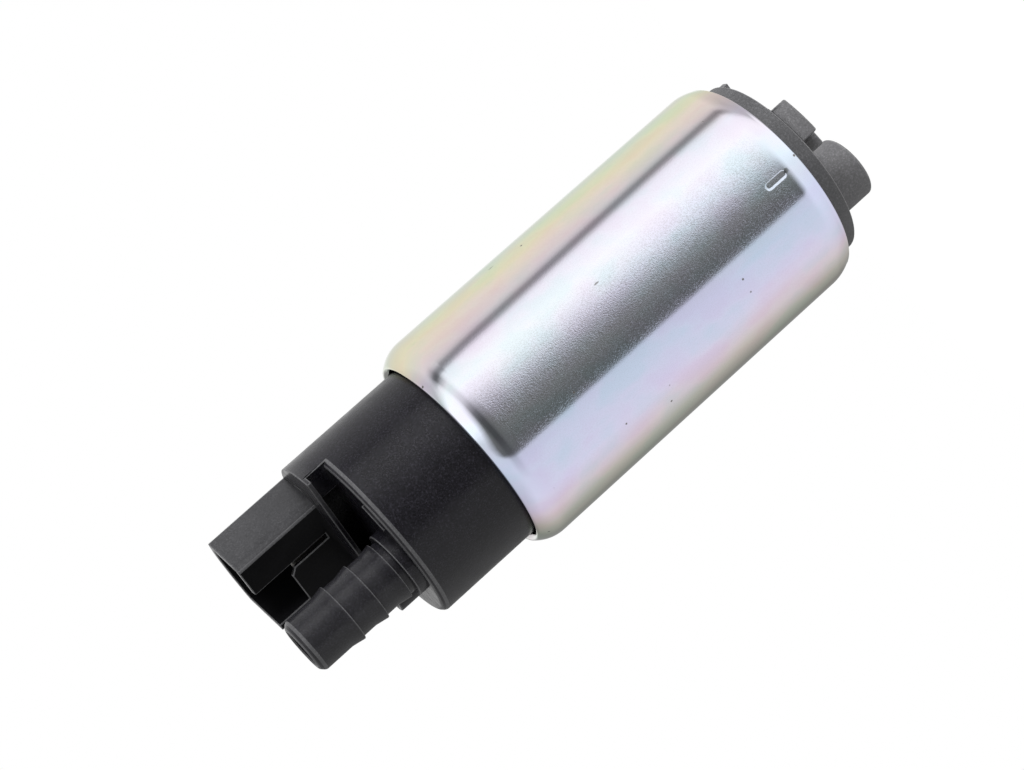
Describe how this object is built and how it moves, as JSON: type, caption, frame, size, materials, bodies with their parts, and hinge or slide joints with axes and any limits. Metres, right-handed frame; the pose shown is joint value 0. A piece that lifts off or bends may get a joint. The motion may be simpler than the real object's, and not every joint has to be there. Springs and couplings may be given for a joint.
{
  "type": "in-tank electric fuel pump",
  "caption": "Electric in-tank turbine fuel pump: rolled steel case, black outlet cover with barbed hose nipple and plug socket, grey inlet cover with offset port.",
  "frame": {"origin": "on the pump's axis, in the middle of the steel case", "axes": "+Z along the pump's axis towards the outlet nipple and plug; the inlet port lies towards -X, the inlet cover's lug towards -Y"},
  "size_m": [0.038, 0.038, 0.115],
  "materials": {
    "case_steel": "satin",
    "cover_black": "matte",
    "cover_grey": "matte",
    "valve_plastic": "satin",
    "spring_steel": "satin",
    "turned_brass": "satin",
    "holder_plastic": "matte",
    "tinned_brass": "satin",
    "ferrite": "matte",
    "copper_wire": "gloss",
    "brush_carbon": "satin",
    "sintered_bronze": "matte",
    "shaft_steel": "polished",
    "commutator_copper": "satin",
    "core_steel": "matte",
    "magnet_ferrite": "matte",
    "body_plastic": "matte",
    "impeller_plastic": "satin"
  },
  "bodies": {
    "housing": {"pump_case": "case_steel", "outlet_cover": "cover_black", "inlet_cover": "cover_grey", "check_valve_cage": "valve_plastic", "relief_valve_plug": "turned_brass", "brush_holder": "holder_plastic", "positive_terminal": "tinned_brass", "positive_choke": "ferrite", "negative_terminal": "tinned_brass", "negative_choke": "ferrite", "upper_bush": "sintered_bronze", "lower_bush": "sintered_bronze", "magnet_north": "magnet_ferrite", "magnet_south": "magnet_ferrite", "magnet_clip": "spring_steel", "pump_body": "body_plastic"},
    "rotor": {"rotor_shaft": "shaft_steel", "commutator": "commutator_copper", "armature_core": "core_steel", "armature_winding": "copper_wire", "impeller": "impeller_plastic"},
    "check_valve": {"check_valve_plunger": "valve_plastic", "check_valve_spring": "spring_steel"},
    "relief_valve": {"relief_valve_poppet": "turned_brass", "relief_valve_spring": "spring_steel"},
    "positive_brush_set": {"positive_brush": "brush_carbon", "positive_brush_spring": "spring_steel", "positive_brush_lead": "copper_wire"},
    "negative_brush_set": {"negative_brush": "brush_carbon", "negative_brush_spring": "spring_steel", "negative_brush_lead": "copper_wire"}
  },
  "joints": [
    {"name": "rotor_spin", "type": "hinge", "parent": "housing", "child": "rotor", "pos_m": [0, 0, 0], "axis": [0, 0, 1], "continuous": true},
    {"name": "check_valve_lift", "type": "slide", "parent": "housing", "child": "check_valve", "axis": [0, 0, 1], "range_m": [0, 0.002], "stiffness_N_per_m": 40, "springref_m": -0.004, "deforming": ["check_valve_spring"]},
    {"name": "relief_valve_lift", "type": "slide", "parent": "housing", "child": "relief_valve", "axis": [0, 0, 1], "range_m": [0, 0.0012], "stiffness_N_per_m": 500, "springref_m": -0.003, "deforming": ["relief_valve_spring"]},
    {"name": "positive_brush_slide", "type": "slide", "parent": "housing", "child": "positive_brush_set", "axis": [0, 0, 1], "range_m": [0, 0.0035], "stiffness_N_per_m": 100, "springref_m": -0.006, "deforming": ["positive_brush_spring", "positive_brush_lead"]},
    {"name": "negative_brush_slide", "type": "slide", "parent": "housing", "child": "negative_brush_set", "axis": [0, 0, 1], "range_m": [0, 0.0035], "stiffness_N_per_m": 100, "springref_m": -0.006, "deforming": ["negative_brush_spring", "negative_brush_lead"]}
  ]
}
